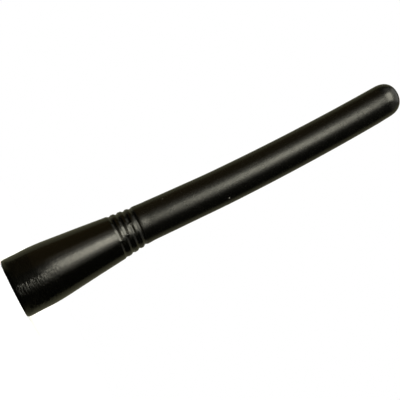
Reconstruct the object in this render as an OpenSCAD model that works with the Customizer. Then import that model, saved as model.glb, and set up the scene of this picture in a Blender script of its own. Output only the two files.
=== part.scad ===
// Short rubber mast aerial for a car, standing on its skirt.
// A one-piece rubber sheath is moulded over a threaded ferrule, a core rod and
// the winding that receives. The skirt's socket goes over the stud of the
// car's aerial base, and the ferrule screws onto that stud.
// The origin is the centre of the rim, and Z is the axis of the thread.

/* [Skirt] */
// Largest diameter of the flared skirt
skirt_d = 17.2; // [15.5:0.1:20]
// Height of the straight wall above the rim
wall_h = 5; // [3:0.5:9]
// Radius of the long curve from the wall into the cone
skirt_curve_r = 80; // [40:1:120]
// Rounding of the rim's outer edge
rim_round = 0.5; // [0.2:0.1:1]
// Rounding of the rim's inner edge
rim_inner_round = 0.3; // [0.1:0.1:0.5]

/* [Rings] */
// Number of grooves round the neck
groove_count = 4; // [2:1:5]
// Distance from one groove to the next
groove_pitch = 2.05; // [1.8:0.05:2.6]
// Depth of a groove
groove_depth = 0.32; // [0.2:0.02:0.6]
// Width of a groove between the crests of its rounded edges
groove_w = 1.5; // [0.8:0.1:1.7]
// Lean of the ring planes, in degrees
ring_lean = 2; // [0:0.5:4]

/* [Mast] */
// Length along the centreline, from the rim to the tip
mast_len = 120; // [100:1:180]
// Height of the last groove, where the mast begins
root_h = 38.1; // [36:0.1:45]
// Diameter of the cone where it ends in the last groove
cone_top_d = 11.2; // [10:0.1:12]
// Diameter of the mast at its root
root_d = 10.7; // [9.5:0.1:12]
// Diameter of the mast where the tip begins to round
tip_d = 9.4; // [8.5:0.1:11]
// Height of the rounded tip
dome_h = 5.2; // [4:0.1:6]
// Fullness of the rounded tip, where 2 is an even dome
dome_fullness = 2.4; // [2:0.1:3]
// Lean of the mast where it leaves the rings, in degrees
root_lean = 2.9; // [0:0.1:5]
// Length over which the mast takes up that lean
lean_len = 2.5; // [1:0.5:5]
// Radius of the mast's bow
bow_r = 750; // [500:10:2000]

/* [Socket in the skirt] */
// Diameter of the socket that goes over the car's aerial base
socket_d = 12.4; // [12:0.1:13]
// Depth of the socket
socket_depth = 6; // [4:0.5:8]

/* [Ferrule] */
// Diameter of the ferrule's flange
flange_d = 11; // [10:0.1:11.8]
// Thickness of the flange
flange_t = 1.5; // [1:0.1:2.5]
// Diameter of the body that the rubber grips
grip_d = 9; // [8:0.1:9.8]
// Length of that body
grip_len = 11; // [10:0.5:12]
// Number of grip grooves round the body
grip_groove_count = 2; // [1:1:3]
// Width of a grip groove
grip_groove_w = 1.4; // [0.8:0.1:2]
// Depth of a grip groove
grip_groove_depth = 0.6; // [0.3:0.1:0.9]
// Minor diameter of the M5 thread
thread_d = 4.2; // [3.2:0.1:5]
// Depth of the threaded hole
thread_len = 11; // [8:0.5:12]
// Size of the lead chamfer at the thread's mouth
thread_chamfer = 0.5; // [0.2:0.1:0.8]
// Diameter of the neck that carries the winding
neck_d = 4.6; // [4.4:0.1:5]
// Length of the neck
neck_len = 5.5; // [4.5:0.5:7]
// Depth of the rod's socket in the neck
rod_socket_len = 4.5; // [3:0.5:6]

/* [Core and winding] */
// Diameter of the core rod
rod_d = 3; // [2.6:0.1:3.2]
// Rubber left between the rod and the very tip
tip_cover = 7; // [6:0.5:12]
// Diameter of the winding's wire
wire_d = 0.5; // [0.3:0.1:0.5]
// Rise of the winding in one turn
coil_pitch = 1.8; // [1.2:0.1:3]
// Bare rod above the winding
rod_bare_len = 3; // [2:0.5:6]
// Height of the solder collar on the neck
solder_h = 1.2; // [0.8:0.1:2]
// Wall of the shrink sleeve over the winding
sleeve_wall = 0.3; // [0.2:0.05:0.4]
// How far the sleeve reaches down over the neck
sleeve_overlap = 4; // [2:0.5:4.5]
// Gap between pieces that slide into each other
fit_gap = 0.05; // [0.03:0.01:0.1]

/* [Hidden] */

// Radii of the pieces
skirt_r = skirt_d / 2;
cone_top_r = cone_top_d / 2;
root_r = root_d / 2;
tip_r = tip_d / 2;
socket_r = socket_d / 2;
neck_r = neck_d / 2;
rod_r = rod_d / 2;
wire_r = wire_d / 2;
sleeve_bore_r = neck_r + fit_gap;
sleeve_r = sleeve_bore_r + sleeve_wall;
cavity_r = sleeve_r + fit_gap;
// The winding lies close inside the sleeve
coil_r = sleeve_bore_r - fit_gap - wire_r;
solder_bore_r = rod_r + fit_gap;

// Heights up the ferrule, and places along the centreline above it
seat_h = socket_depth;
grip_h = seat_h + flange_t;
shoulder_h = grip_h + grip_len;
neck_h = shoulder_h + neck_len;
rod_foot_h = neck_h - rod_socket_len;
rod_end = mast_len - tip_cover;
coil_foot = neck_h + solder_h + wire_r + fit_gap;
coil_end = rod_end - rod_bare_len;
sleeve_foot_h = neck_h - sleeve_overlap;
dome_s = mast_len - dome_h;

// The wall runs into an arc, and the cone is the tangent from its top to that arc
curve_x = skirt_r - skirt_curve_r;
to_cone_top = [cone_top_r - curve_x, root_h - wall_h];
cone_half_angle = atan2(to_cone_top[1], to_cone_top[0]) - acos(skirt_curve_r / norm(to_cone_top));
half_groove = groove_w / 2;

// The centreline is straight to bend_a, leans over to bend_b, then bows back
bend_b = root_h + groove_w;
bend_a = bend_b - lean_len;
lean_r = lean_len / (max(root_lean, 0.01) * PI / 180);
bend_b_x = lean_r * (1 - cos(root_lean));
bend_b_z = bend_a + lean_r * sin(root_lean);

// Fineness of the faceted stretches
MAST_SIDES = 40;
MAST_STEP = 5;
DOME_STEPS = 7;
CORE_SIDES = 16;
CORE_STEP = 6;
WIRE_SIDES = 6;
WIRE_STEPS = 12;
GROOVE_STEPS = 4;
EDGE_STEPS = 4;
CURVE_STEPS = 6;
// How far one solid reaches into the next where they are joined or cut
BITE = 0.3;
$fn = 96;

// Lean of the centreline at s, in degrees towards +X
function lean(s) =
    s <= bend_a ? 0 :
    s <= bend_b ? root_lean * (s - bend_a) / lean_len :
    root_lean - (s - bend_b) / bow_r * 180 / PI;

// Point of the centreline at s, measured along it from the rim
function on_line(s) =
    s <= bend_a ? [0, 0, s] :
    s <= bend_b ?
        [lean_r * (1 - cos(lean(s))), 0, bend_a + lean_r * sin(lean(s))] :
        [bend_b_x + bow_r * (cos(lean(s)) - cos(root_lean)), 0,
         bend_b_z + bow_r * (sin(root_lean) - sin(lean(s)))];

function along(s) = [sin(lean(s)), 0, cos(lean(s))];
function across(s) = [cos(lean(s)), 0, -sin(lean(s))];
function outward(s, turn) = cos(turn) * across(s) + [0, sin(turn), 0];

// Circle of points square to the centreline at s
function hoop(s, r, sides) =
    [for (i = [0:sides - 1]) on_line(s) + r * outward(s, 360 * i / sides)];

// Even places from a to b, no further apart than step
function places(a, b, step) =
    let (count = ceil((b - a) / step)) [for (i = [0:count]) a + (b - a) * i / count];

// Radius of the cone at height h, without its grooves
function cone_radius(h) = cone_top_r + (root_h - h) * tan(cone_half_angle);

// Radius of the mast at s, without its last groove
function mast_radius(s) =
    root_r + (tip_r - root_r) * (s - root_h) / (dome_s - root_h);

// Radius at the mast's foot, which blends out of the cone inside the last groove
function foot_radius(s) =
    let (t = max(0, (s - root_h) / half_groove))
    (1 - t) * cone_radius(s) + t * mast_radius(s) - dip(s - root_h);

// Radius of the rounded tip at a part t of its height
function dome_radius(t) = tip_r * pow(1 - pow(t, dome_fullness), 1 / dome_fullness);

// Depth of a groove at a distance from its middle, with rounded edges and floor
function dip(from_middle) =
    abs(from_middle) >= half_groove ? 0 :
    groove_depth * pow(cos(90 * from_middle / half_groove), 2);

function groove_h(i) = root_h - (groove_count - 1 - i) * groove_pitch;
first_groove_h = groove_h(0);
ring_mid_h = (first_groove_h + root_h) / 2;

// Arc in the profile's plane, between two angles
function arc(centre, r, from, to) =
    [for (i = [0:EDGE_STEPS])
        let (a = from + (to - from) * i / EDGE_STEPS)
        centre + r * [cos(a), sin(a)]];

// Closed skin over a list of hoops that have the same number of points
module skin(hoops) {
    sides = len(hoops[0]);
    last = (len(hoops) - 1) * sides;
    polyhedron(
        points = [for (one = hoops) each one],
        faces = concat(
            [[for (i = [0:sides - 1]) i]],
            [for (k = [0:len(hoops) - 2], i = [0:sides - 1])
                let (a = k * sides + i, b = k * sides + (i + 1) % sides)
                each [[a, b + sides, b], [a, a + sides, b + sides]]],
            [[for (i = [sides - 1:-1:0]) last + i]]),
        convexity = 6);
}

// Rod of even thickness along the centreline
module bent_rod(r, from, to) {
    skin([for (s = concat(places(from, max(from, bend_a), CORE_STEP * 10),
                          places(bend_a, bend_b, lean_len / 2),
                          places(bend_b, to, CORE_STEP)))
        if (s >= from && s <= to) hoop(s, r, CORE_SIDES)]);
}

// Rim, wall and cone of the skirt, up to the floor of the first groove
module skirt_body() {
    curve = [for (i = [0:CURVE_STEPS])
        let (turn = cone_half_angle * i / CURVE_STEPS)
        [curve_x + skirt_curve_r * cos(turn), wall_h + skirt_curve_r * sin(turn)]];
    groove_side = [for (i = [0:GROOVE_STEPS])
        let (h = first_groove_h - half_groove * (1 - i / GROOVE_STEPS))
        [cone_radius(h) - dip(h - first_groove_h), h]];
    rotate_extrude()
        polygon(concat([[0, 0]],
                       arc([skirt_r - rim_round, rim_round], rim_round, -90, 0),
                       curve,
                       groove_side,
                       [[0, first_groove_h]]));
}

// The rings between the first and the last groove, on their own leaning axis
module ring_block() {
    heights = places(first_groove_h - BITE, root_h + BITE, groove_pitch / (2 * GROOVE_STEPS));
    nearest = function(h) groove_h(max(0, min(groove_count - 1, round((h - first_groove_h) / groove_pitch))));
    translate([0, 0, ring_mid_h])
        rotate([0, ring_lean, 0])
            rotate_extrude()
                polygon(concat([[0, heights[0] - ring_mid_h]],
                               [for (h = heights) [cone_radius(h) - dip(h - nearest(h)), h - ring_mid_h]],
                               [[0, heights[len(heights) - 1] - ring_mid_h]]));
}

// The bowed, tapering mast and its rounded tip
module mast_body() {
    foot = [for (i = [-1:GROOVE_STEPS]) root_h + half_groove * i / GROOVE_STEPS];
    stem = places(root_h + half_groove, dome_s, MAST_STEP);
    skin(concat(
        [for (s = foot) hoop(s, foot_radius(s), MAST_SIDES)],
        [for (i = [1:len(stem) - 1]) hoop(stem[i], mast_radius(stem[i]), MAST_SIDES)],
        [for (i = [1:DOME_STEPS])
            let (t = sin(90 * i / (DOME_STEPS + 0.3)))
            hoop(dome_s + dome_h * t, dome_radius(t), MAST_SIDES)]));
}

// Socket in the skirt, with a rounded mouth
module socket() {
    translate([0, 0, -BITE]) cylinder(h = seat_h + BITE, r = socket_r);
    rotate_extrude()
        polygon(concat([[0, -BITE], [socket_r + rim_inner_round, -BITE]],
                       arc([socket_r + rim_inner_round, rim_inner_round], rim_inner_round, -90, -180),
                       [[0, rim_inner_round]]));
}

// Outside of the ferrule, without its holes
module ferrule_blank() {
    translate([0, 0, seat_h]) cylinder(h = flange_t, d = flange_d);
    difference() {
        translate([0, 0, grip_h]) cylinder(h = grip_len, d = grip_d);
        for (i = [1:grip_groove_count])
            translate([0, 0, grip_h + grip_len * i / (grip_groove_count + 1) - grip_groove_w / 2])
                difference() {
                    cylinder(h = grip_groove_w, d = grip_d + 2 * BITE);
                    translate([0, 0, -BITE])
                        cylinder(h = grip_groove_w + 2 * BITE, d = grip_d - 2 * grip_groove_depth);
                }
    }
    translate([0, 0, shoulder_h]) cylinder(h = neck_len, r = neck_r);
}

// Black rubber moulded in one piece round everything else
module sheath() {
    color([0.07, 0.07, 0.06])
        difference() {
            union() {
                skirt_body();
                ring_block();
                mast_body();
            }
            socket();
            ferrule_blank();
            bent_rod(cavity_r, sleeve_foot_h, rod_end + fit_gap);
        }
}

// Turned brass ferrule: threaded hole below, socket for the rod above
module ferrule() {
    color([0.78, 0.75, 0.68])
        difference() {
            ferrule_blank();
            translate([0, 0, seat_h - BITE]) cylinder(h = thread_len + BITE, d = thread_d);
            translate([0, 0, seat_h])
                cylinder(h = thread_chamfer, d1 = thread_d + 2 * thread_chamfer, d2 = thread_d);
            translate([0, 0, rod_foot_h]) cylinder(h = rod_socket_len + BITE, r = rod_r + fit_gap);
        }
}

// Glass-fibre rod that stiffens the mast and carries the winding
module core_rod() {
    color([0.83, 0.81, 0.68]) bent_rod(rod_r, rod_foot_h, rod_end);
}

// Enamelled copper wire wound round the rod as one helix
module winding() {
    steps = floor((coil_end - coil_foot) / coil_pitch * WIRE_STEPS);
    color([0.62, 0.29, 0.13])
        skin([for (k = [0:steps])
            let (s = coil_foot + coil_pitch * k / WIRE_STEPS,
                 out = outward(s, 360 * k / WIRE_STEPS),
                 middle = on_line(s) + coil_r * out)
            [for (i = [0:WIRE_SIDES - 1])
                let (a = 360 * i / WIRE_SIDES)
                middle + wire_r * (cos(a) * along(s) + sin(a) * out)]]);
}

// Solder that joins the foot of the winding to the ferrule's neck
module solder_collar() {
    color([0.72, 0.73, 0.74])
        translate([0, 0, neck_h])
            difference() {
                cylinder(h = solder_h, r1 = neck_r, r2 = coil_r + wire_r - fit_gap);
                translate([0, 0, -BITE]) cylinder(h = solder_h + 2 * BITE, r = solder_bore_r);
            }
}

// Thin sleeve shrunk over the neck and the winding
module shrink_sleeve() {
    color([0.13, 0.13, 0.14])
        difference() {
            bent_rod(sleeve_r, sleeve_foot_h, rod_end);
            bent_rod(sleeve_bore_r, sleeve_foot_h - BITE, rod_end + BITE);
        }
}

sheath();
ferrule();
core_rod();
winding();
solder_collar();
shrink_sleeve();
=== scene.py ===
# %% [markdown]
# # A short rubber mast aerial, dressed in Blender
#
# The real thing is a car's mast aerial about 12 cm tall: black rubber moulded over a
# threaded brass ferrule, a glass-fibre rod and a copper winding. The solid model already
# has the right size and place, and this lesson gives it its looks. Every cell explains
# one step, does it, and prints what it made.

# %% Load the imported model
import math

import bpy
from mathutils import Matrix, Vector


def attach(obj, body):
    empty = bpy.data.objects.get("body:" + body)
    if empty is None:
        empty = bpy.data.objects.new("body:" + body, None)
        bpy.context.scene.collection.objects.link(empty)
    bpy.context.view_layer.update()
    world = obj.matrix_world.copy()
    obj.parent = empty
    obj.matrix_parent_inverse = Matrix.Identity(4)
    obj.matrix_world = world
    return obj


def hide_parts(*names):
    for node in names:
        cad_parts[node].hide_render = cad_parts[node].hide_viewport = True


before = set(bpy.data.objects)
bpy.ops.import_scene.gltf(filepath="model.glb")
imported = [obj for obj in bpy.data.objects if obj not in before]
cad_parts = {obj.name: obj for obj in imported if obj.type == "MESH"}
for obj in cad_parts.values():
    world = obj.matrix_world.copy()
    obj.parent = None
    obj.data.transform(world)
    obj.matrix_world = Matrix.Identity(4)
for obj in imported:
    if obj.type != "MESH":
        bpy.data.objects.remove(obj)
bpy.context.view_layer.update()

# %% [markdown]
# ## Units and colours
#
# Blender works in metres here and the part is dimensioned in millimetres, so one factor
# turns one into the other. Colours are written as the sRGB hex values that a paint
# program shows. Shaders calculate with linear light, so one function converts them.

# %% Millimetres and hex colours
MM = 0.001


def linear(hex_colour):
    """Linear RGBA of an sRGB colour written as six hex digits."""
    values = []
    for i in (0, 2, 4):
        c = int(hex_colour[i:i + 2], 16) / 255
        values.append(c / 12.92 if c <= 0.04045 else ((c + 0.055) / 1.055) ** 2.4)
    return (*values, 1.0)


print("mid grey is", round(linear("808080")[0], 3), "in linear light")

# %% [markdown]
# ## Camera
#
# The photograph looks at the aerial square on, from a little under half a metre, nearly
# level with its rim, and the picture is rolled so that the mast climbs to the upper right.
# A camera's own axes are its right, its up and its backward direction, so the camera's
# matrix is built from those three vectors and its place.

# %% Place and roll of the camera
CAMERA_DISTANCE = 450 * MM
CAMERA_HEIGHT = 12 * MM
AIM = Vector((1.36, 0, 56.84)) * MM
ROLL = math.radians(62.94)
SENSOR_WIDTH = 36
# Focal length and picture width, both in pixels
FOCAL_PIXELS = 1625.8
IMAGE_PIXELS = 400


def camera_matrix():
    """World matrix of a camera that looks at AIM and is rolled about its line of sight."""
    back = math.sqrt(CAMERA_DISTANCE ** 2 - (AIM.z - CAMERA_HEIGHT) ** 2)
    place = Vector((AIM.x, -back, CAMERA_HEIGHT))
    forward = (AIM - place).normalized()
    level_up = (Vector((0, 0, 1)) - forward * forward.z).normalized()
    level_right = forward.cross(level_up)
    right = level_right * math.cos(ROLL) + level_up * math.sin(ROLL)
    up = level_up * math.cos(ROLL) - level_right * math.sin(ROLL)
    turn = Matrix((right, up, -forward)).transposed().to_4x4()
    return Matrix.Translation(place) @ turn


lens = bpy.data.cameras.new("lens")
lens.sensor_width = SENSOR_WIDTH
lens.lens = SENSOR_WIDTH * FOCAL_PIXELS / IMAGE_PIXELS
lens.clip_start, lens.clip_end = 0.01, 20
camera = bpy.data.objects.new("camera", lens)
bpy.context.scene.collection.objects.link(camera)
camera.matrix_world = camera_matrix()
bpy.context.scene.camera = camera
print("camera at", [round(1000 * c) for c in camera.matrix_world.translation], "mm")

# %% [markdown]
# ## One helper for every shader node
#
# A shader is a small program drawn as boxes and wires. One function adds a box, sets its
# options and fills its inputs, either with a value or with a wire from another box.

# %% Helper that adds a shader node
def add(tree, kind, inputs=None, **settings):
    """New node in tree. inputs maps a socket's name or number to a value or to a socket."""
    node = tree.nodes.new(kind)
    for key, value in settings.items():
        setattr(node, key, value)
    for key, value in (inputs or {}).items():
        if isinstance(value, bpy.types.NodeSocket):
            tree.links.new(value, node.inputs[key])
        else:
            node.inputs[key].default_value = value
    return node


def new_material(name):
    """Empty material and its node tree."""
    material = bpy.data.materials.new(name)
    material.use_nodes = True
    material.node_tree.nodes.clear()
    return material, material.node_tree


print("node helper ready")

# %% [markdown]
# ## Backdrop and floor
#
# The picture is a cut-out on pure white. A ray that comes straight from the camera finds
# a white world, and any other ray finds a nearly black one, because white all round
# would turn black rubber grey. The floor is pale card: it takes the aerial's shadow, and
# for the camera alone it rises to full white away from the aerial. A gloss sees painted
# shade on it instead: the pale card is painted dark where the eye skims it, and it glows
# a plain grey, a painted reflection, where it is seen from higher up, away from the aerial.

# %% World
WORLD_GREY = 0.004
world = bpy.data.worlds.new("white_surround")
world.use_nodes = True
bpy.context.scene.world = world
tree = world.node_tree
tree.nodes.clear()
ray = add(tree, "ShaderNodeLightPath")
seen = add(tree, "ShaderNodeMath",
           {0: ray.outputs["Is Camera Ray"], 1: ray.outputs["Is Transmission Ray"]}, operation="MAXIMUM")
dim = add(tree, "ShaderNodeBackground", {"Color": (1, 1, 1, 1), "Strength": WORLD_GREY})
white = add(tree, "ShaderNodeBackground", {"Color": (1, 1, 1, 1), "Strength": 1.0})
mix = add(tree, "ShaderNodeMixShader", {0: seen.outputs[0], 1: dim.outputs[0], 2: white.outputs[0]})
add(tree, "ShaderNodeOutputWorld", {"Surface": mix.outputs[0]})
print("world: white to the camera,", WORLD_GREY, "to everything else")

# %% Floor
FLOOR_HALF = 3.0
CARD_FIBRE = 2 * MM
# The camera sees the card glow more and more between these distances from the aerial
LIFT_FROM, LIFT_TO = 0.05, 0.3
LIFT_NEAR, LIFT_FAR = 0.35, 1.0
# A gloss sees a painted grey glow on it between these values of Facing (1 where the eye skims it) and
# distances
SKIMMED, STEEP = 0.92, 0.76
GLOSS_FROM, GLOSS_TO = 0.14, 0.35
GLOSS_GREY = 0.6


def floor_card():
    """Pale card that is lifted to white for the camera; a gloss sees painted shade on it and a painted grey
    glow.
    """
    material, tree = new_material("pale_card_floor")
    ray = add(tree, "ShaderNodeLightPath")
    place = add(tree, "ShaderNodeTexCoord").outputs["Object"]
    fibre = add(tree, "ShaderNodeTexNoise", {"Vector": place, "Scale": 1 / CARD_FIBRE, "Detail": 3.0})
    tone = add(tree, "ShaderNodeMix", {"Factor": fibre.outputs["Fac"], 6: linear("EFEFEC"),
                                       7: linear("FAFAF8")}, data_type="RGBA")
    card = add(tree, "ShaderNodeBsdfDiffuse", {"Color": tone.outputs[2]})
    away = add(tree, "ShaderNodeVectorMath", {0: place}, operation="LENGTH")
    lift = add(tree, "ShaderNodeMapRange", {"Value": away.outputs["Value"], "From Min": LIFT_FROM,
                                            "From Max": LIFT_TO, "To Min": LIFT_NEAR, "To Max": LIFT_FAR},
               interpolation_type="SMOOTHSTEP")
    glow = add(tree, "ShaderNodeEmission", {"Strength": lift.outputs[0]})
    lifted = add(tree, "ShaderNodeAddShader", {0: card.outputs[0], 1: glow.outputs[0]})
    seen = add(tree, "ShaderNodeMath",
               {0: ray.outputs["Is Camera Ray"], 1: ray.outputs["Is Transmission Ray"]}, operation="MAXIMUM")
    pale = add(tree, "ShaderNodeMixShader", {0: seen.outputs[0], 1: card.outputs[0], 2: lifted.outputs[0]})
    facing = add(tree, "ShaderNodeLayerWeight", {"Blend": 0.5}).outputs["Facing"]
    steep = add(tree, "ShaderNodeMapRange", {"Value": facing, "From Min": SKIMMED, "From Max": STEEP,
                                             "To Max": GLOSS_GREY}, interpolation_type="SMOOTHSTEP")
    clear = add(tree, "ShaderNodeMapRange", {"Value": away.outputs["Value"], "From Min": GLOSS_FROM,
                                             "From Max": GLOSS_TO})
    amount = add(tree, "ShaderNodeMath", {0: steep.outputs[0], 1: clear.outputs[0]}, operation="MULTIPLY")
    grey = add(tree, "ShaderNodeEmission", {"Strength": amount.outputs[0]})
    # Painted shade: a gloss sees the pale card as dark grey, and a painted grey glow where it is seen from
    # higher up
    dark = add(tree, "ShaderNodeBsdfDiffuse", {"Color": linear("151515")})
    mirrored = add(tree, "ShaderNodeAddShader", {0: dark.outputs[0], 1: grey.outputs[0]})
    out = add(tree, "ShaderNodeMixShader", {0: ray.outputs["Is Glossy Ray"], 1: pale.outputs[0],
                                            2: mirrored.outputs[0]})
    add(tree, "ShaderNodeOutputMaterial", {"Surface": out.outputs[0]})
    return material


def sheet_mesh(name, corners, faces, material):
    """Stage object made of plain polygons."""
    mesh = bpy.data.meshes.new(name)
    mesh.from_pydata(corners, [], faces)
    mesh.materials.append(material)
    sheet = bpy.data.objects.new(name, mesh)
    bpy.context.scene.collection.objects.link(sheet)
    return sheet


square = [(x * FLOOR_HALF, y * FLOOR_HALF, 0) for x, y in ((-1, -1), (1, -1), (1, 1), (-1, 1))]
sheet_mesh("floor", square, [(0, 1, 2, 3)], floor_card())
print("floor:", 2 * FLOOR_HALF, "m square")

# %% [markdown]
# ## White cove behind the aerial
#
# In the photograph the aerial lies on white paper. Along both edges of the rubber, where
# the eye glances off the surface, that paper is mirrored as a thin olive-grey glow. Here
# a cove of faintly glowing paper stands behind the aerial: part of a ring on the floor
# that turns up into a curved wall. A narrow ring of the same paper lies round the rim, and
# a dim brown card beside the cove gives the upper side of the rubber its warm tone. Only
# other surfaces see these sheets, the camera doesn't.

# %% Cove and warm card
# Where each sheet begins and ends round the aerial, in degrees from the camera towards -X
COVE_FROM, COVE_TO = 111, 252
WARM_CARD_FROM = 36
PAPER_FROM, PAPER_TO = 36, 324
COVE_GLOW, WARM_CARD_GLOW = 0.27, 0.12
COVE_COLOUR = "FCF9CE"
# Outlines of the sheets as (distance from the aerial, height) in metres, a hair above the floor
ABOVE_FLOOR = 0.3 * MM
COVE_OUTLINE = [(r, ABOVE_FLOOR) for r in (0.02, 0.05, 0.12, 0.3, 0.8)] + [(0.8, 0.9)]
WARM_CARD_OUTLINE = [(0.8, ABOVE_FLOOR), (0.8, 0.3)]
PAPER_OUTLINE = [(0.0065, 0.02 * MM), (0.03, ABOVE_FLOOR)]


def round_the_aerial(azimuth, elevation, distance):
    """Place at a bearing from the aerial: azimuth from the camera towards -X, in degrees."""
    a, e = math.radians(azimuth), math.radians(elevation)
    return Vector((-math.sin(a) * math.cos(e), -math.cos(a) * math.cos(e), math.sin(e))) * distance


def cove(name, start, end, outline, glow, colour, count=24):
    """Glowing sheet that follows an outline and is swept round the aerial between two azimuths."""
    corners, faces = [], []
    for i in range(count + 1):
        for r, z in outline:
            foot = round_the_aerial(start + (end - start) * i / count, 0, r)
            corners.append((foot.x, foot.y, z))
    n = len(outline)
    for i in range(count):
        faces += [(i * n + k, i * n + k + 1, (i + 1) * n + k + 1, (i + 1) * n + k) for k in range(n - 1)]
    material, tree = new_material(name)
    paper = add(tree, "ShaderNodeEmission", {"Color": linear(colour), "Strength": glow})
    add(tree, "ShaderNodeOutputMaterial", {"Surface": paper.outputs[0]})
    sheet = sheet_mesh(name, corners, faces, material)
    sheet.visible_camera = False
    sheet.visible_shadow = False
    print(f"{name}: {len(faces)} faces")
    return sheet, tree, paper


cove("white_cove", COVE_FROM, COVE_TO, COVE_OUTLINE, COVE_GLOW, COVE_COLOUR)
cove("warm_card", WARM_CARD_FROM, COVE_FROM, WARM_CARD_OUTLINE, WARM_CARD_GLOW, "FFDC98", count=8)

# %% Paper round the rim
# How far behind the aerial a bearing points, from -1 in front to 1 behind: the glow begins and is full
SOFT_FROM, SOFT_TO = -0.78, -0.3
# The glow is full up to the first distance and gone at the second
PAPER_FULL, PAPER_NONE = 12 * MM, 30 * MM


def soften(tree, paper, glow):
    """Lets a sheet's glow die away towards the camera and outwards, so that its ends don't show."""
    place = add(tree, "ShaderNodeTexCoord").outputs["Object"]
    bearing = add(tree, "ShaderNodeVectorMath", {0: place}, operation="NORMALIZE")
    behind = add(tree, "ShaderNodeSeparateXYZ", {0: bearing.outputs[0]}).outputs["Y"]
    fade = add(tree, "ShaderNodeMapRange", {"Value": behind, "From Min": SOFT_FROM, "From Max": SOFT_TO,
                                            "To Max": glow}, interpolation_type="SMOOTHSTEP")
    away = add(tree, "ShaderNodeVectorMath", {0: place}, operation="LENGTH")
    rim = add(tree, "ShaderNodeMapRange", {"Value": away.outputs["Value"], "From Min": PAPER_NONE,
                                           "From Max": PAPER_FULL}, interpolation_type="SMOOTHSTEP")
    both = add(tree, "ShaderNodeMath", {0: fade.outputs[0], 1: rim.outputs[0]}, operation="MULTIPLY")
    tree.links.new(both.outputs[0], paper.inputs["Strength"])


under_rim, under_tree, under_paper = cove("paper_under_rim", PAPER_FROM, PAPER_TO, PAPER_OUTLINE, COVE_GLOW,
                                          COVE_COLOUR)
soften(under_tree, under_paper, COVE_GLOW)
under_rim.visible_diffuse = False

# %% [markdown]
# ## Light panels on the floor
#
# Seen from above, the rubber mirrors the floor near it, and a dark floor would make it a
# flat black. So two light panels lie there, one behind the aerial and one in front. A grid
# over each sends its light upwards only, so that the camera of the photograph hardly
# sees them in the rubber.

# %% Floor panels
PANEL_NEAR, PANEL_FAR = 0.03, 0.8
# Half the width that is fully bright, and half the whole width
PANEL_CORE, PANEL_HALF = 0.02, 0.1
PANEL_LIFT = 0.6 * MM
# The grid hides the panel from an eye that skims it (Facing near 1) and is clear from higher up
GRID_SHUT, GRID_OPEN = 0.94, 0.8


def floor_panel(name, side, strength):
    """Light panel with a grid over it, behind the aerial (side 1) or in front of it (side -1)."""
    near, far = side * PANEL_NEAR, side * PANEL_FAR
    corners = [(x * PANEL_HALF, y, PANEL_LIFT) for x, y in ((-1, near), (1, near), (1, far), (-1, far))]
    material, tree = new_material(name)
    parts = add(tree, "ShaderNodeSeparateXYZ", {0: add(tree, "ShaderNodeTexCoord").outputs["Object"]})
    aside = add(tree, "ShaderNodeMath", {0: parts.outputs["X"]}, operation="ABSOLUTE")
    middle = add(tree, "ShaderNodeMapRange", {"Value": aside.outputs[0], "From Min": PANEL_HALF,
                                              "From Max": PANEL_CORE}, interpolation_type="SMOOTHSTEP")
    # The light rises to its full strength at four times the distance of the near edge
    rise = add(tree, "ShaderNodeMapRange", {"Value": parts.outputs["Y"], "From Min": near,
                                            "From Max": 4 * near, "To Max": strength},
               interpolation_type="SMOOTHSTEP")
    facing = add(tree, "ShaderNodeLayerWeight", {"Blend": 0.5}).outputs["Facing"]
    grid = add(tree, "ShaderNodeMapRange", {"Value": facing, "From Min": GRID_SHUT, "From Max": GRID_OPEN},
               interpolation_type="SMOOTHSTEP")
    power = add(tree, "ShaderNodeMath", {0: middle.outputs[0], 1: rise.outputs[0]}, operation="MULTIPLY")
    glow = add(tree, "ShaderNodeEmission", {"Color": linear("FFFDF4"), "Strength": power.outputs[0]})
    clear = add(tree, "ShaderNodeBsdfTransparent")
    share = add(tree, "ShaderNodeMath", {0: middle.outputs[0], 1: grid.outputs[0]}, operation="MULTIPLY")
    out = add(tree, "ShaderNodeMixShader", {0: share.outputs[0], 1: clear.outputs[0], 2: glow.outputs[0]})
    add(tree, "ShaderNodeOutputMaterial", {"Surface": out.outputs[0]})
    panel = sheet_mesh(name, corners, [(0, 1, 2, 3)], material)
    panel.visible_camera = panel.visible_shadow = panel.visible_diffuse = False
    print(f"{name}: from {near} to {far} m behind the aerial")


floor_panel("rear_panel", 1, 6.5)
floor_panel("front_panel", -1, 2.6)

# %% [markdown]
# ## Studio lights
#
# One band of light runs down the camera's side of the mast. It is sharp on its lower side
# in the picture and fades slowly on the upper one, and it dies away on the straight wall
# by the rim, whose face looks below the light. Only a slim, wide source a little above
# the camera does that, so it is built from three boxes over one another, each wider and
# weaker than the last. A strip near the floor lights the wall by the rim, two boxes high
# up light the rounded tip, and a dim one on each side fills the flanks of the rings. A
# flat lamp's brightness is its power over its area and pi, so each lamp's power is worked
# out from the brightness that its reflection needs.

# %% Soft boxes
AERIAL_MIDDLE = Vector((0, 0, 57 * MM))
LAMP_DISTANCE = 0.7


def soft_box(name, azimuth, elevation, wide, tall, brightness, colour="FFFFFF"):
    """Flat lamp that faces the aerial; wide and tall are the angles it fills from there."""
    lamp = bpy.data.lights.new(name, "AREA")
    lamp.shape = "RECTANGLE"
    lamp.size = 2 * LAMP_DISTANCE * math.tan(math.radians(wide / 2))
    lamp.size_y = 2 * LAMP_DISTANCE * math.tan(math.radians(tall / 2))
    lamp.energy = brightness * math.pi * lamp.size * lamp.size_y
    lamp.color = linear(colour)[:3]
    box = bpy.data.objects.new(name, lamp)
    bpy.context.scene.collection.objects.link(box)
    box.location = AERIAL_MIDDLE + round_the_aerial(azimuth, elevation, LAMP_DISTANCE)
    box.rotation_euler = (AERIAL_MIDDLE - box.location).to_track_quat("-Z", "Y").to_euler()
    box.visible_camera = False
    print(f"{name}: {lamp.size:.2f} x {lamp.size_y:.2f} m, {lamp.energy:.1f} W")


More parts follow.
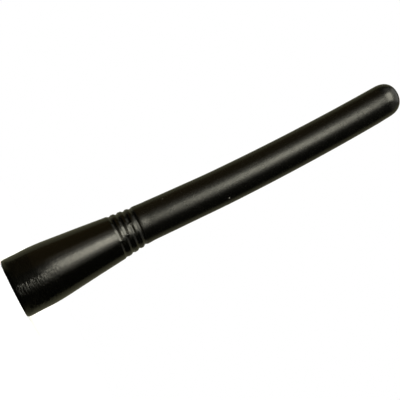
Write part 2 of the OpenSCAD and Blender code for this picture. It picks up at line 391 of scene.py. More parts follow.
soft_box("key_core", 4.2, 12.2, 25.5, 5.2, 9.8)
soft_box("key_soft", 4.8, 12.7, 49.5, 8.0, 2.8)
soft_box("key_wide", 16.0, 13.9, 98.0, 10.0, 0.73)
soft_box("low_strip", -15.0, 2.1, 24.0, 4.8, 1.4)
soft_box("top_box", 7.2, 44.0, 49.5, 34.0, 6.6)
soft_box("overhead", 0.0, 90.0, 50.0, 58.0, 1.0)
soft_box("side_fill", 56.0, 55.0, 50.0, 50.0, 0.5)
soft_box("lower_fill", -75.0, 52.0, 50.0, 46.0, 0.26)

# %% [markdown]
# ## The shape of the rubber sheath
#
# The sheath is one moulding: a straight wall at the rim, a cone, four grooves with
# rounded rings between them, and a mast that leans over and then bows back. All of it
# is a stack of circles threaded on a bent centreline, so the same few functions that
# place the solids place the fine mesh too.

# %% Dimensions in millimetres
SKIRT_R, RIM_INNER_ROUND = 8.6, 0.3
WALL_H, CURVE_R = 5.0, 80.0
ROOT_H, CONE_TOP_R = 38.1, 5.6
GROOVES, GROOVE_PITCH, GROOVE_DEPTH, GROOVE_W = 4, 2.05, 0.32, 1.5
RING_LEAN = math.radians(2)
MAST_LEN, ROOT_R, TIP_R = 120.0, 5.35, 4.7
# The dome is a superellipse: its height, and an exponent that is 2 for a true ellipse
DOME_H, DOME_FULLNESS = 5.2, 2.4
ROOT_LEAN, LEAN_LEN, BOW_R = math.radians(2.9), 2.5, 750.0
SOCKET_R, SOCKET_DEPTH = 6.2, 6.0
HALF_GROOVE = GROOVE_W / 2
BEND_B = ROOT_H + GROOVE_W
BEND_A = BEND_B - LEAN_LEN
LEAN_R = LEAN_LEN / ROOT_LEAN
DOME_S = MAST_LEN - DOME_H
FIRST_GROOVE_H = ROOT_H - (GROOVES - 1) * GROOVE_PITCH
print("grooves at", [round(ROOT_H - k * GROOVE_PITCH, 2) for k in range(GROOVES)], "mm")


# %% Centreline
def lean(s):
    """Lean of the centreline towards +X at distance s along it, in radians."""
    if s <= BEND_A:
        return 0.0
    if s <= BEND_B:
        return ROOT_LEAN * (s - BEND_A) / LEAN_LEN
    return ROOT_LEAN - (s - BEND_B) / BOW_R


def on_line(s):
    """Point of the centreline at distance s from the rim, as x and z."""
    if s <= BEND_A:
        return 0.0, s
    a = lean(s)
    if s <= BEND_B:
        return LEAN_R * (1 - math.cos(a)), BEND_A + LEAN_R * math.sin(a)
    x = LEAN_R * (1 - math.cos(ROOT_LEAN)) + BOW_R * (math.cos(a) - math.cos(ROOT_LEAN))
    z = BEND_A + LEAN_R * math.sin(ROOT_LEAN) + BOW_R * (math.sin(ROOT_LEAN) - math.sin(a))
    return x, z


print("tip of the centreline at", [round(c, 2) for c in on_line(MAST_LEN)], "mm")

# %% Radii of the skirt and the mast
# The mast swells a little where it leaves the last groove, as the mould is rounded there
SHOULDER_SWELL, SHOULDER_S, SHOULDER_LEN = 0.1, 39.2, 1.2
FOOT_SWELL, FOOT_END = 0.08, 60
# The photograph's edge pixels are dark, so the mast is drawn this much fuller all round
EDGE = 0.05
# Wear has rounded the rim's outer edge, that much less on the -X side, and drawn the wall in below
VISUAL_RIM_ROUND, RIM_ROUND_KEPT, WALL_DRAFT = 0.65, 0.45, 0.12
# The tip is this much flatter on its +X side, from the first distance to the second
TIP_FLAT, TIP_FLAT_FROM, TIP_FLAT_FULL = 0.13, 110, 117
CURVE_X = SKIRT_R - CURVE_R
TO_CONE_TOP = (CONE_TOP_R - CURVE_X, ROOT_H - WALL_H)
CONE_ANGLE = math.atan2(TO_CONE_TOP[1], TO_CONE_TOP[0]) - math.acos(CURVE_R / math.hypot(*TO_CONE_TOP))
CURVE_TOP = WALL_H + CURVE_R * math.sin(CONE_ANGLE)


def smooth(a, b, x):
    """0 below a, 1 above b and an S-curve between."""
    t = min(1.0, max(0.0, (x - a) / (b - a)))
    return t * t * (3 - 2 * t)


def skirt_radius(h):
    """Radius of wall, curve and cone at height h, without grooves."""
    if h <= WALL_H:
        return SKIRT_R - WALL_DRAFT * ((WALL_H - h) / WALL_H) ** 2
    if h <= CURVE_TOP:
        return CURVE_X + math.sqrt(CURVE_R ** 2 - (h - WALL_H) ** 2)
    return CONE_TOP_R + (ROOT_H - h) * math.tan(CONE_ANGLE)


def mast_radius(s):
    """Radius of the mast and its rounded tip at distance s along the centreline."""
    if s <= DOME_S:
        swell = SHOULDER_SWELL * math.exp(-((s - SHOULDER_S) / SHOULDER_LEN) ** 2)
        swell += FOOT_SWELL * (1 - smooth(SHOULDER_S, FOOT_END, s))
        return ROOT_R + (TIP_R - ROOT_R) * (s - ROOT_H) / (DOME_S - ROOT_H) + EDGE + swell
    t = min(1.0, (s - DOME_S) / DOME_H)
    return (TIP_R + EDGE) * (1 - t ** DOME_FULLNESS) ** (1 / DOME_FULLNESS)


def tip_radius(s, angle):
    """Radius at distance s and an angle: near the tip the side towards +X is a little flat."""
    return mast_radius(s) - TIP_FLAT * smooth(TIP_FLAT_FROM, TIP_FLAT_FULL, s) * max(0.0, math.cos(angle))


def rim_edge(h, angle):
    """Radius of the rim's rounded outer edge at height h and at an angle round the mast."""
    r = VISUAL_RIM_ROUND - RIM_ROUND_KEPT * smooth(0, 0.8, -math.cos(angle))
    return skirt_radius(VISUAL_RIM_ROUND) - r + math.sqrt(r ** 2 - (r - min(h, r)) ** 2)


print("cone half angle", round(math.degrees(CONE_ANGLE), 2), "degrees")

# %% [markdown]
# ## Small faults of the moulding
#
# A clean computer shape looks false beside a real moulding. The photographed one has
# slivers of flash that bridge three of its grooves, rings that aren't quite even, and a
# rim that is trimmed a little high on one side. Each is a small change of radius or
# height at a known angle, measured round the mast from the camera's side.

# %% Flash in the grooves and unevenness of the rings
# groove number from the rim, angle in degrees towards +X, half width in degrees, share filled
FLASH = [(0, 15, 5.0, 0.8), (1, 7, 5.0, 0.9), (2, -17, 4.0, 1.1), (0, 90, 30, 0.4)]


def wave(angle, seed):
    """Slow random-looking wave round the mast, between -1 and 1."""
    return (math.sin(3 * angle + seed * 1.7) + 0.7 * math.sin(7 * angle + seed * 2.9)
            + 0.5 * math.sin(13 * angle + seed * 4.3)) / 2.2


# Each groove is a little higher on the camera's side, and the last sits a little low: mm
GROOVE_LIFT = (0.26, 0.3, 0.22, 0.26)
GROOVE_SHIFT = (0.0, 0.0, 0.0, -0.14)
# Share of the depth that is lost on the camera's side, where the mould was worn
GROOVE_LOSS = (0.35, 0.3, 0.12, 0.0)
# How far a groove wanders up and down in mm, and the share by which its depth varies
GROOVE_WANDER, GROOVE_UNEVEN = 0.04, 0.12
# The rim is trimmed higher on the -X side, in two rises, and a nib of it stands at an angle
FIRST_RISE, SECOND_RISE = 0.14, 0.26
NIB_AT, NIB_HALF = 41, 3
# The trim fades out over this height and spares the socket and the wall this close to it
TRIM_HEIGHT, SOCKET_WALL = 4, 0.2


def groove_cut(h, angle):
    """Depth of the grooves at height h and at an angle round the mast."""
    above = h + GROOVE_LIFT[0] * math.sin(angle) - FIRST_GROOVE_H
    k = min(GROOVES - 1, max(0, round(above / GROOVE_PITCH)))
    middle = FIRST_GROOVE_H + k * GROOVE_PITCH + GROOVE_SHIFT[k] - GROOVE_LIFT[k] * math.sin(angle)
    middle += GROOVE_WANDER * wave(angle, k)
    away = (h - middle) / HALF_GROOVE
    if abs(away) >= 1:
        return 0.0
    filled = 0.0
    for groove, turned, half, share in FLASH:
        off = math.degrees(angle + math.pi / 2) - turned
        off = (off + 180) % 360 - 180
        if groove == k:
            filled = max(filled, share * math.exp(-(off / half) ** 2))
    near = max(0.0, -math.sin(angle)) ** 2
    depth = GROOVE_DEPTH * (1 + GROOVE_UNEVEN * wave(angle, 9 + k)) * (1 - filled)
    depth *= 1 - GROOVE_LOSS[k] * near
    return depth * math.cos(math.pi / 2 * away) ** 2


def rim_lift(point):
    """How high the rim is trimmed, in mm: it rises up to 38 degrees towards -X and again up to 90."""
    turned = math.degrees(math.atan2(-point.x, -point.y))
    nib = max(0.0, 1 - abs(turned - NIB_AT) / NIB_HALF)
    lift = FIRST_RISE * smooth(0, 38, turned) + SECOND_RISE * smooth(48, 90, turned)
    lift -= (FIRST_RISE + SECOND_RISE) * smooth(95, 180, turned)
    return lift * (1 - nib)


def trim_rim(ring, h, r):
    """Raises a ring of the lowest few millimetres by the trim of the rim."""
    if h < TRIM_HEIGHT and r > SOCKET_R + SOCKET_WALL:
        for p in ring:
            p.z += rim_lift(p) * (1 - h / TRIM_HEIGHT)


print(len(FLASH), "slivers of flash")

# %% [markdown]
# ## The sheath's mesh
#
# The mesh is a stack of rings of points: down the outside from the tip to the rim, up
# the socket inside the skirt, round the ferrule and on up the space that the core
# fills, so it is one closed skin as the real rubber is. Rings stand close together
# where the grooves and the dome curve and further apart on the mast.

# %% Helper that skins a stack of rings
SIDES = 160


def ring_of_points(x, z, tilt, radius, sides=SIDES):
    """Circle at (x, z), its plane tilted towards +X. radius is a number or a function of angle."""
    points = []
    for i in range(sides):
        a = 2 * math.pi * i / sides
        r = radius(a) if callable(radius) else radius
        points.append(Vector((x + r * math.cos(a) * math.cos(tilt), r * math.sin(a),
                              z - r * math.cos(a) * math.sin(tilt))))
    return points


def skin(name, rings, material, sharp=35):
    """Closed mesh over rings, with a point at each end, smooth but for its sharp edges."""
    sides = len(rings[0])
    points = [p for ring in rings for p in ring]
    faces = []
    for k in range(len(rings) - 1):
        for i in range(sides):
            a, b = k * sides + i, k * sides + (i + 1) % sides
            faces.append((a, a + sides, b + sides, b))
    for ring, turn in ((0, 1), (len(rings) - 1, -1)):
        points.append(sum(rings[ring], Vector()) / sides)
        start = ring * sides
        for i in range(sides):
            pair = (start + i, start + (i + 1) % sides)
            faces.append((*pair[::turn], len(points) - 1))
    mesh = bpy.data.meshes.new(name)
    mesh.from_pydata([p * MM for p in points], [], faces)
    mesh.materials.append(material)
    piece = bpy.data.objects.new(name, mesh)
    bpy.context.scene.collection.objects.link(piece)
    mesh.shade_smooth()
    mesh.set_sharp_from_angle(angle=math.radians(sharp))
    mesh.validate()
    print(f"{name}: {len(mesh.polygons)} faces")
    return piece


def steps(a, b, size):
    """Even places from a to b, no further apart than size."""
    count = max(1, math.ceil(abs(b - a) / size))
    return [a + (b - a) * i / count for i in range(count + 1)]


print("skinning helper ready")


# %% Rings of the outside, from the tip down to the rim
DOME_RINGS = 22
# How far the top of the tip leans towards -X, as the moulded tip isn't quite even
TIP_LEAN = 0.2
NECK_TOP = 39.5
NECK_FOOT = FIRST_GROOVE_H - HALF_GROOVE - 0.3
# Distances between rings in mm
MAST_STEP, NECK_STEP, SKIRT_STEP = 0.9, 0.075, 0.4
# How far the real moulding strays from its drawn centreline at the neck and at the mast's foot
NECK_STRAY, FOOT_STRAY = 0.08, -0.09


def wander(s):
    """How far the moulding strays towards +X at distance s along the centreline, in mm."""
    neck = smooth(22, 33, s) - smooth(36.5, 40, s)
    foot = smooth(37, 44, s) - smooth(52, 64, s)
    return NECK_STRAY * neck + FOOT_STRAY * foot


def outside_rings():
    """Rings of the tip, the mast, the grooved neck and the skirt down to the rim's rounding."""
    rings = []
    for i in range(DOME_RINGS):
        t = math.cos(math.pi / 2 * i / DOME_RINGS)
        # The first ring stays a little below the very top, where its radius would be nothing
        s = DOME_S + DOME_H * min(t, 0.9995)
        x, z = on_line(s)
        rings.append(ring_of_points(x - TIP_LEAN * t ** 3, z, lean(s), lambda a, s=s: tip_radius(s, a)))
    for s in steps(DOME_S, NECK_TOP, MAST_STEP):
        x, z = on_line(s)
        rings.append(ring_of_points(x + wander(s), z, lean(s), lambda a, s=s: tip_radius(s, a)))
    for s in steps(NECK_TOP, NECK_FOOT, NECK_STEP)[1:]:
        x, z = on_line(s)
        # The rings lean a little from the first groove on, and as the mast does above the last
        tilt = RING_LEAN * smooth(FIRST_GROOVE_H - HALF_GROOVE - 0.4, FIRST_GROOVE_H - 0.2, s)
        tilt += (lean(s) - RING_LEAN) * smooth(ROOT_H, ROOT_H + HALF_GROOVE, s)
        # The radius passes from the skirt's to the mast's inside the last groove
        t = smooth(ROOT_H - 0.2, ROOT_H + HALF_GROOVE - 0.1, s)
        body = (1 - t) * (skirt_radius(s) + EDGE) + t * mast_radius(s)
        rings.append(ring_of_points(x + wander(s), z, tilt,
                                    lambda a, s=s, body=body: body - groove_cut(s, a)))
    for h in steps(NECK_FOOT, VISUAL_RIM_ROUND, SKIRT_STEP)[1:]:
        rings.append(ring_of_points(wander(h), h, 0, min(SKIRT_R, skirt_radius(h) + EDGE)))
        trim_rim(rings[-1], h, SKIRT_R)
    return rings


# %% Rings of the rim, the socket and the space inside
RIM_FLAT_R = 7.2
GRIP_R, FLANGE_R, FLANGE_T, GRIP_LEN = 4.5, 5.5, 1.5, 11.0
CAVITY_R, SLEEVE_FOOT, CAVITY_TOP = 2.7, 20.0, 113.05
SHOULDER_H = SOCKET_DEPTH + FLANGE_T + GRIP_LEN


def rounded(centre_r, centre_z, r, start, end, count=6):
    """Corner of a profile as (radius, height) pairs, between two angles in degrees."""
    turns = [math.radians(start + (end - start) * i / count) for i in range(count + 1)]
    return [(centre_r + r * math.cos(a), centre_z + r * math.sin(a)) for a in turns]


def inside_rings():
    """Rings of the rim's rounding, its flat, the socket, the ferrule's seat and the cavity above."""
    profile = []
    for i in range(1, 7):
        h = VISUAL_RIM_ROUND * (1 - math.sin(math.pi / 12 * i))
        profile.append((lambda a, h=h: rim_edge(h, a), h))
    profile += [(RIM_FLAT_R, 0.0)]
    profile += rounded(SOCKET_R + RIM_INNER_ROUND, RIM_INNER_ROUND, RIM_INNER_ROUND, -90, -180)
    profile += [(SOCKET_R, h) for h in (1.5, 3.0, 4.5)]
    profile += [(SOCKET_R, SOCKET_DEPTH), (FLANGE_R, SOCKET_DEPTH), (FLANGE_R, SOCKET_DEPTH + FLANGE_T),
                (GRIP_R, SOCKET_DEPTH + FLANGE_T), (GRIP_R, SHOULDER_H), (CAVITY_R, SHOULDER_H)]
    rings = []
    for r, h in profile:
        rings.append(ring_of_points(0, h, 0, r))
        trim_rim(rings[-1], h, SKIRT_R if callable(r) else r)
    for s in steps(SLEEVE_FOOT, CAVITY_TOP, 3.0):
        x, z = on_line(s)
        rings.append(ring_of_points(x, z, lean(s), CAVITY_R))
    return rings


print("rim and socket profile ready")

# %% [markdown]
# ## Black rubber
#
# The sheath is black EPDM rubber, moulded in a blasted steel mould. That gives the eye
# a deep, slightly olive black with a satin sheen, not a gloss: the highlight is broad,
# its edge breaks up into a fine grain, and close to the silhouette the surface turns
# pale because any smooth thing mirrors more at a glancing angle. The sheen's warm tint
# is painted into the rubber in place of the warm colour of the light. Carbon-filled
# rubber reflects almost nothing of its own colour, so nearly all that shows is sheen,
# and the roughness and the bumps do the work.

# %% Rubber material
RUBBER_FINE = 0.16 * MM
RUBBER_GRAIN = 0.5 * MM
RUBBER_DIMPLE = 1.3 * MM
RUBBER_SWELL = 9 * MM
# Scuffs run round the skirt, on the camera's side and towards +X: 0.55 mm wide and 1.6 mm
# long, full up to 11 mm above the rim and gone at 17 mm
SCUFF_WIDE, SCUFF_LONG, SCUFF_DEEP = 0.55 * MM, 1.6 * MM, 0.135 * MM
SCUFF_FULL, SCUFF_NONE = 11 * MM, 17 * MM
SCUFF_SIDE_NONE, SCUFF_SIDE_FULL = -0.9 * MM, 0.1 * MM
SCUFF_BACK_NONE, SCUFF_BACK_FULL = -2 * MM, -5 * MM
# The skirt is handled when it is screwed on, so up to the grooves it is shinier than the mast
SKIRT_ROUGH, MAST_ROUGH = 0.18, 0.26
SKIRT_END, MAST_START = 36 * MM, 40 * MM
# Dust: space is cut into cells 1.6 mm wide, and the rare ones with a random tone this dark hold a speck
DUST_CELL, DUST_DARKEST, DUST_TONE = 1.6 * MM, 0.03, 0.3
# Two larger nicks: place in mm, radius in mm and tone
NICKS = [((4.5, -3.58, 64.0), 0.27, 0.5), ((-3.55, -3.62, 47.4), 0.28, 0.07)]


def black_rubber():
    """Rubber with the grain of its mould, swells, scuffs by the rim, dust and two nicks."""
    material, tree = new_material("moulded_black_rubber")
    place = add(tree, "ShaderNodeTexCoord").outputs["Object"]
    parts = add(tree, "ShaderNodeSeparateXYZ", {0: place})
    height = parts.outputs["Z"]
    low = add(tree, "ShaderNodeMapRange", {"Value": height, "From Min": SCUFF_FULL, "From Max": SCUFF_NONE,
                                           "To Min": 1.0, "To Max": 0.0}, interpolation_type="SMOOTHSTEP")
    side = add(tree, "ShaderNodeMapRange", {"Value": parts.outputs["X"], "From Min": SCUFF_SIDE_NONE,
                                            "From Max": SCUFF_SIDE_FULL}, interpolation_type="SMOOTHSTEP")
    front = add(tree, "ShaderNodeMapRange", {"Value": parts.outputs["Y"], "From Min": SCUFF_BACK_NONE,
                                             "From Max": SCUFF_BACK_FULL}, interpolation_type="SMOOTHSTEP")
    scuffed = add(tree, "ShaderNodeMath", {0: low.outputs[0], 1: side.outputs[0]}, operation="MULTIPLY")
    scuffed = add(tree, "ShaderNodeMath", {0: scuffed.outputs[0], 1: front.outputs[0]},
                  operation="MULTIPLY").outputs[0]
    # Relief, from the largest bumps to the smallest: their size and their height in mm
    normal = add(tree, "ShaderNodeNewGeometry").outputs["Normal"]
    layers = {}
    for size, tall in ((RUBBER_SWELL, 0.05), (RUBBER_DIMPLE, 0.014), (RUBBER_GRAIN, 0.014),
                       (RUBBER_FINE, 0.009)):
        layers[size] = add(tree, "ShaderNodeTexNoise", {"Vector": place, "Scale": 1 / size,
                                                        "Detail": 2.0}).outputs["Fac"]
        normal = add(tree, "ShaderNodeBump", {"Height": layers[size], "Distance": tall * MM, "Strength": 1.0,
                                              "Normal": normal}).outputs[0]
    # Scuffs are noise that is stretched round the skirt
    drawn = add(tree, "ShaderNodeMapping", {"Vector": place,
                                            "Scale": (1 / SCUFF_LONG, 1 / SCUFF_LONG, 1 / SCUFF_WIDE)})
    scratches = add(tree, "ShaderNodeTexNoise", {"Vector": drawn.outputs[0], "Scale": 1.0, "Detail": 2.0,
                                                 "Roughness": 0.6, "Distortion": 0.4})
    depth = add(tree, "ShaderNodeMath", {0: scuffed, 1: SCUFF_DEEP}, operation="MULTIPLY")
    normal = add(tree, "ShaderNodeBump", {"Height": scratches.outputs["Fac"], "Distance": depth.outputs[0],
                                          "Strength": 1.0, "Normal": normal}).outputs[0]
    worn = add(tree, "ShaderNodeMapRange", {"Value": height, "From Min": SKIRT_END, "From Max": MAST_START,
                                            "To Min": SKIRT_ROUGH, "To Max": MAST_ROUGH})
    patch = add(tree, "ShaderNodeMapRange", {"Value": layers[RUBBER_DIMPLE], "From Min": 0.3,
                                             "From Max": 0.7, "To Min": -0.02, "To Max": 0.02})
    rough = add(tree, "ShaderNodeMath", {0: worn.outputs[0], 1: patch.outputs[0]}, operation="ADD")
    tint = add(tree, "ShaderNodeMix", {"Factor": layers[RUBBER_SWELL], 6: linear("020201"),
                                       7: linear("030302")}, data_type="RGBA")
    # A speck of dust is a pale dot at the middle of its Voronoi cell
    cell = add(tree, "ShaderNodeTexVoronoi", {"Vector": place, "Scale": 1 / DUST_CELL})
    picked = add(tree, "ShaderNodeMath", {0: cell.outputs["Color"], 1: DUST_DARKEST}, operation="LESS_THAN")
    near = add(tree, "ShaderNodeMapRange", {"Value": cell.outputs["Distance"], "From Min": 0.1,
                                            "From Max": 0.05})
    speck = add(tree, "ShaderNodeMath", {0: picked.outputs[0], 1: near.outputs[0]}, operation="MULTIPLY")
    pale = add(tree, "ShaderNodeMath", {0: speck.outputs[0], 1: DUST_TONE}, operation="MULTIPLY").outputs[0]
    for (x, y, z), radius, nick_tone in NICKS:
        away = add(tree, "ShaderNodeVectorMath", {0: place, 1: (x * MM, y * MM, z * MM)},
                   operation="DISTANCE")
        mark = add(tree, "ShaderNodeMapRange", {"Value": away.outputs["Value"], "From Min": radius * MM,
                                                "From Max": radius * 0.5 * MM, "To Max": nick_tone})
        pale = add(tree, "ShaderNodeMath", {0: pale, 1: mark.outputs[0]}, operation="MAXIMUM").outputs[0]
    colour = add(tree, "ShaderNodeMix", {"Factor": pale, 6: tint.outputs[2], 7: linear("B8B4A4")},
                 data_type="RGBA")
    # The sheen's warm tint is painted: it stands in for the warm colour of the light and tints every
    # highlight
    shader = add(tree, "ShaderNodeBsdfPrincipled", {"Base Color": colour.outputs[2], "IOR": 1.5,
                                                    "Roughness": rough.outputs[0], "Normal": normal,
                                                    "Specular Tint": (1.0, 0.97, 0.8, 1.0)})
    add(tree, "ShaderNodeOutputMaterial", {"Surface": shader.outputs[0]})
    return material


rubber = black_rubber()
print("rubber:", len(rubber.node_tree.nodes), "nodes")

# %% The sheath takes the place of its solid
sheath = skin("sheath_skin", outside_rings() + inside_rings(), rubber)
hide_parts("sheath")
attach(sheath, "root")
print("sheath stands for its solid")

# %% [markdown]
# ## The ferrule
#
# Inside the skirt a turned brass ferrule carries the aerial. It is a lathe part, so it is
# a stack of rings as well, but its hole has a real M5 thread: the ring's radius changes
# with the angle as well as with the height, and the ridge climbs 0.8 mm in one turn.
# The grip body has knurling that keys it into the rubber.

# %% Thread and knurl
THREAD_R, THREAD_MAJOR_R, THREAD_PITCH, THREAD_LEN, THREAD_CHAMFER = 2.1, 2.48, 0.8, 11.0, 0.5
NECK_R, NECK_LEN, ROD_HOLE_R, ROD_HOLE_LEN = 2.3, 5.5, 1.55, 4.5
FERRULE_SIDES = 120
# Straight ribs of the knurl, the two grooves across it, and the break of the outer edges
RIBS, RIB_DEPTH = 40, 0.12
GRIP_GROOVE_HALF, GRIP_GROOVE_DEPTH = 0.7, 0.6
EDGE_BREAK = 0.2


def thread_radius(h, angle):
    """Radius of the threaded hole: a right-hand ridge with a flat crest and a flat root."""
    turn = (h / THREAD_PITCH - angle / (2 * math.pi)) % 1.0
    tooth = min(1.0, max(0.0, 2.2 * abs(2 * turn - 1) - 0.6))
    fade = smooth(SOCKET_DEPTH + THREAD_LEN - 0.4, SOCKET_DEPTH + THREAD_LEN - 1.4, h)
    return THREAD_R + (THREAD_MAJOR_R - THREAD_R) * tooth * fade


def knurl_radius(angle):
    """Radius of the grip body with its straight ribs."""
    return GRIP_R - RIB_DEPTH * (1 - abs(((angle * RIBS / (2 * math.pi)) % 1.0) * 2 - 1))


def ferrule_rings():
    """Rings of the threaded hole from its end outwards, the flange, the grip, the neck and its socket."""
    n = FERRULE_SIDES
    top = SHOULDER_H + NECK_LEN
    rings = [ring_of_points(0, SOCKET_DEPTH + THREAD_LEN, 0, r, n) for r in (0.3, 1.9, THREAD_R)]
    for h in steps(SOCKET_DEPTH + THREAD_LEN - 0.1, SOCKET_DEPTH + THREAD_CHAMFER, 0.09):
        rings.append(ring_of_points(0, h, 0, lambda a, h=h: thread_radius(h, a), n))
    lead = THREAD_R + THREAD_CHAMFER
    for t in (0.75, 0.5, 0.25, 0.0):
        h = SOCKET_DEPTH + THREAD_CHAMFER * t
        cone = lead - THREAD_CHAMFER * t
        rings.append(ring_of_points(0, h, 0, lambda a, h=h, cone=cone: max(cone, thread_radius(h, a)), n))
    grip_h = SOCKET_DEPTH + FLANGE_T
    face_r = FLANGE_R - EDGE_BREAK
    for r, h in [(3.6, SOCKET_DEPTH), (face_r, SOCKET_DEPTH), (FLANGE_R, SOCKET_DEPTH + EDGE_BREAK),
                 (FLANGE_R, grip_h - EDGE_BREAK), (face_r, grip_h), (GRIP_R, grip_h)]:
        rings.append(ring_of_points(0, h, 0, r, n))
    bottom = GRIP_R - GRIP_GROOVE_DEPTH
    for k in (1, 2):
        middle = grip_h + GRIP_LEN * k / 3
        for h, r in [(middle - GRIP_GROOVE_HALF, knurl_radius), (middle - GRIP_GROOVE_HALF, bottom),
                     (middle + GRIP_GROOVE_HALF, bottom), (middle + GRIP_GROOVE_HALF, knurl_radius)]:
            rings.append(ring_of_points(0, h, 0, r, n))
    rings.append(ring_of_points(0, SHOULDER_H - EDGE_BREAK, 0, knurl_radius, n))
    for r, h in [(GRIP_R - 0.3, SHOULDER_H), (NECK_R, SHOULDER_H), (NECK_R, top), (ROD_HOLE_R, top),
                 (ROD_HOLE_R, top - ROD_HOLE_LEN), (0.3, top - ROD_HOLE_LEN)]:
        rings.append(ring_of_points(0, h, 0, r, n))
    return rings


print("ferrule profile ready")

# %% [markdown]
# ## Nickel-plated brass
#
# The ferrule was turned on a lathe and plated with nickel. The tool leaves fine rings
# about a twentieth of a millimetre apart on the flat faces, which draw the highlight out
# across them, and nickel is a warm grey metal that reflects about two thirds of the light.

# %% Nickel material
# Rings of the tool: 0.05 mm apart on the real part, drawn 0.24 mm apart so that they show
TURNING_MARKS = 0.24 * MM
# One wave of a wave texture is this long when its scale is 1
WAVE_UNIT = 2 * math.pi / 20
TARNISH_PATCH = 1.5 * MM


def turned_nickel():
    """Nickel plating with rings from the lathe and a slight, patchy tarnish."""
    material, tree = new_material("nickel_plated_turned_brass")
    place = add(tree, "ShaderNodeTexCoord").outputs["Object"]
    rings = add(tree, "ShaderNodeTexWave", {"Vector": place, "Scale": WAVE_UNIT / TURNING_MARKS,
                                            "Distortion": 0.4, "Detail": 2.0}, wave_type="RINGS",
                rings_direction="Z")
    tarnish = add(tree, "ShaderNodeTexNoise", {"Vector": place, "Scale": 1 / TARNISH_PATCH, "Detail": 4.0})
    bump = add(tree, "ShaderNodeBump", {"Height": rings.outputs["Fac"], "Distance": 0.004 * MM,
                                        "Strength": 1.0})
    rough = add(tree, "ShaderNodeMapRange", {"Value": tarnish.outputs["Fac"], "From Min": 0.3,
                                             "From Max": 0.7, "To Min": 0.2, "To Max": 0.36})
    colour = add(tree, "ShaderNodeMix", {"Factor": tarnish.outputs["Fac"], 6: linear("C9C3B4"),
                                         7: linear("B5AA92")}, data_type="RGBA")
    shader = add(tree, "ShaderNodeBsdfPrincipled", {"Base Color": colour.outputs[2], "Metallic": 1.0,
                                                    "Roughness": rough.outputs[0], "Normal": bump.outputs[0]})
    add(tree, "ShaderNodeOutputMaterial", {"Surface": shader.outputs[0]})
    return material


ferrule = skin("ferrule_turned", ferrule_rings(), turned_nickel(), sharp=30)
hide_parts("ferrule")
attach(ferrule, "root")
print("ferrule stands for its solid")

# %% [markdown]
# ## What the rubber hides
#
# The rod, the winding, its solder and the shrink sleeve can't be seen in one piece, but
# they are there when the aerial is cut open. Their solids have the right shape, so each
# keeps its mesh and gets the finish of its real material.


# %% Glass fibre
def glass_fibre():
    """Pale resin with glass strands that run up the rod, 0.2 mm apart."""
    material, tree = new_material("pultruded_glass_fibre")
    place = add(tree, "ShaderNodeTexCoord").outputs["Object"]
    across, along = 1 / (0.2 * MM), 1 / (12 * MM)
    drawn = add(tree, "ShaderNodeMapping", {"Vector": place, "Scale": (across, across, along)})
    strand = add(tree, "ShaderNodeTexNoise", {"Vector": drawn.outputs[0], "Scale": 1.0, "Detail": 3.0})
    bump = add(tree, "ShaderNodeBump", {"Height": strand.outputs["Fac"], "Distance": 0.01 * MM,
                                        "Strength": 1.0})
    colour = add(tree, "ShaderNodeMix", {"Factor": strand.outputs["Fac"], 6: linear("D8D3B4"),
                                         7: linear("EFEBD8")}, data_type="RGBA")
    shader = add(tree, "ShaderNodeBsdfPrincipled", {"Base Color": colour.outputs[2], "Roughness": 0.38,
                                                    "IOR": 1.55, "Normal": bump.outputs[0],
                                                    "Subsurface Weight": 0.15, "Subsurface Scale": 1 * MM})
    add(tree, "ShaderNodeOutputMaterial", {"Surface": shader.outputs[0]})
    return material


# %% Enamelled copper
def enamelled_copper():
    """Copper under clear amber enamel, with the odd darker, thicker run of enamel."""
    material, tree = new_material("enamelled_copper_wire")
    place = add(tree, "ShaderNodeTexCoord").outputs["Object"]
    run = add(tree, "ShaderNodeTexNoise", {"Vector": place, "Scale": 1 / (2.5 * MM), "Detail": 2.0})
    colour = add(tree, "ShaderNodeMix", {"Factor": run.outputs["Fac"], 6: linear("B5652F"),
                                         7: linear("8A4620")}, data_type="RGBA")
    rough = add(tree, "ShaderNodeMapRange", {"Value": run.outputs["Fac"], "To Min": 0.22, "To Max": 0.4})
    shader = add(tree, "ShaderNodeBsdfPrincipled", {"Base Color": colour.outputs[2], "Metallic": 1.0,
                                                    "Roughness": rough.outputs[0], "Coat Weight": 1.0,
                                                    "Coat Roughness": 0.08, "Coat IOR": 1.6})
    add(tree, "ShaderNodeOutputMaterial", {"Surface": shader.outputs[0]})
    return material


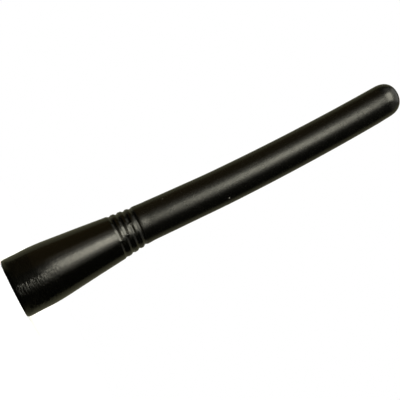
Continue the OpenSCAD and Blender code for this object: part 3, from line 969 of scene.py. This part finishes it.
# %% Solder
def bright_solder():
    """Tin solder that froze with a fine frosting of 0.3 mm crystals."""
    material, tree = new_material("bright_solder")
    place = add(tree, "ShaderNodeTexCoord").outputs["Object"]
    frost = add(tree, "ShaderNodeTexVoronoi", {"Vector": place, "Scale": 1 / (0.3 * MM)})
    bump = add(tree, "ShaderNodeBump", {"Height": frost.outputs["Distance"], "Distance": 0.01 * MM,
                                        "Strength": 1.0})
    rough = add(tree, "ShaderNodeMapRange", {"Value": frost.outputs["Distance"], "To Min": 0.25,
                                             "To Max": 0.5})
    shader = add(tree, "ShaderNodeBsdfPrincipled", {"Base Color": linear("C4C5C6"), "Metallic": 1.0,
                                                    "Roughness": rough.outputs[0], "Normal": bump.outputs[0]})
    add(tree, "ShaderNodeOutputMaterial", {"Surface": shader.outputs[0]})
    return material


# %% Shrink tube
WIRE_PITCH = 1.8 * MM


def shrink_tube():
    """Black polyolefin tube, matt, with soft rings where it shrank over the turns of wire."""
    material, tree = new_material("shrunk_polyolefin_tube")
    place = add(tree, "ShaderNodeTexCoord").outputs["Object"]
    turns = add(tree, "ShaderNodeTexWave", {"Vector": place, "Scale": WAVE_UNIT / WIRE_PITCH,
                                            "Distortion": 0.3}, wave_type="BANDS", bands_direction="Z")
    cloudy = add(tree, "ShaderNodeTexNoise", {"Vector": place, "Scale": 1 / (3 * MM), "Detail": 3.0})
    bump = add(tree, "ShaderNodeBump", {"Height": turns.outputs["Fac"], "Distance": 0.05 * MM,
                                        "Strength": 1.0})
    rough = add(tree, "ShaderNodeMapRange", {"Value": cloudy.outputs["Fac"], "To Min": 0.45, "To Max": 0.65})
    colour = add(tree, "ShaderNodeMix", {"Factor": cloudy.outputs["Fac"], 6: linear("17171A"),
                                         7: linear("232326")}, data_type="RGBA")
    shader = add(tree, "ShaderNodeBsdfPrincipled", {"Base Color": colour.outputs[2], "IOR": 1.49,
                                                    "Roughness": rough.outputs[0], "Normal": bump.outputs[0]})
    add(tree, "ShaderNodeOutputMaterial", {"Surface": shader.outputs[0]})
    return material


# %% Finishes for the hidden solids
for name, material in (("core_rod", glass_fibre()), ("winding", enamelled_copper()),
                       ("solder_collar", bright_solder()), ("shrink_sleeve", shrink_tube())):
    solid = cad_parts[name]
    solid.data.materials.clear()
    solid.data.materials.append(material)
    print(f"{name}: {material.name}")

# %% [markdown]
# ## Picture settings
#
# The Standard view shows colours as they were written.

# %% View transform
bpy.context.scene.view_settings.view_transform = "Standard"
